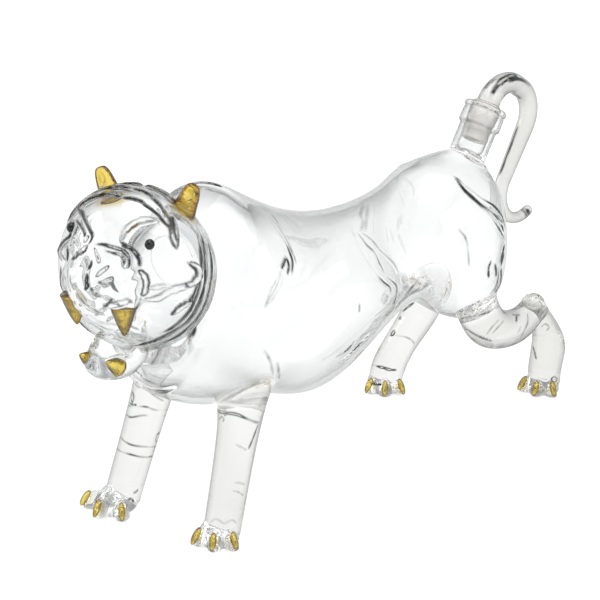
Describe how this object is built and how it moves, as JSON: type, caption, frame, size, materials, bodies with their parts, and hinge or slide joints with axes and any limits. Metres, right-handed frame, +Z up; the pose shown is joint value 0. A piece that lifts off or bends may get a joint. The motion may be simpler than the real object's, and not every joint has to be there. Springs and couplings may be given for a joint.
{
  "type": "figural glass decanter",
  "caption": "Clear blown-glass decanter shaped as a striding big cat, with amber ears, fangs and claws and a ground stopper whose handle is the tail.",
  "frame": {"origin": "middle of the footprint's bounding box, on the surface the paws stand on", "axes": "+Z up, +Y from the muzzle to the tail, +X to the cat's left flank"},
  "size_m": [0.0932, 0.3088, 0.1691],
  "materials": {
    "clear_glass": "clear fire-polished borosilicate",
    "amber_glass": "coloured glass, fire-polished",
    "black_glass": "opaque bead",
    "ground_glass": "ground, matt"
  },
  "bodies": {
    "decanter": {"body_bulb": "clear_glass", "front_left_claw_1": "amber_glass", "front_left_claw_2": "amber_glass", "front_left_claw_3": "amber_glass", "front_left_leg": "clear_glass", "front_left_paw": "clear_glass", "front_right_claw_1": "amber_glass", "front_right_claw_2": "amber_glass", "front_right_claw_3": "amber_glass", "front_right_leg": "clear_glass", "front_right_paw": "clear_glass", "head_shell": "clear_glass", "hind_left_claw_1": "amber_glass", "hind_left_claw_2": "amber_glass", "hind_left_claw_3": "amber_glass", "hind_left_paw": "clear_glass", "hind_left_shank": "clear_glass", "hind_left_thigh": "clear_glass", "hind_right_claw_1": "amber_glass", "hind_right_claw_2": "amber_glass", "hind_right_claw_3": "amber_glass", "hind_right_leg": "clear_glass", "hind_right_paw": "clear_glass", "left_ear": "amber_glass", "left_eye": "black_glass", "lower_jaw": "clear_glass", "lower_left_canine": "amber_glass", "lower_right_canine": "amber_glass", "muzzle": "clear_glass", "neck_socket": "clear_glass", "right_ear": "amber_glass", "right_eye": "black_glass", "upper_left_canine": "amber_glass", "upper_right_canine": "amber_glass"},
    "stopper": {"stopper_plug": "ground_glass"},
    "tail_handle": {"tail_rod": "clear_glass"}
  },
  "joints": [
    {"name": "stopper_lift", "type": "slide", "parent": "decanter", "child": "stopper", "axis": [0, 0.5299, 0.848], "range_m": [0, 0.06]},
    {"name": "stopper_turn", "type": "hinge", "parent": "stopper", "child": "tail_handle", "pos_m": [0, 0.0998, 0.1316], "axis": [0, 0.5299, 0.848], "continuous": true}
  ]
}
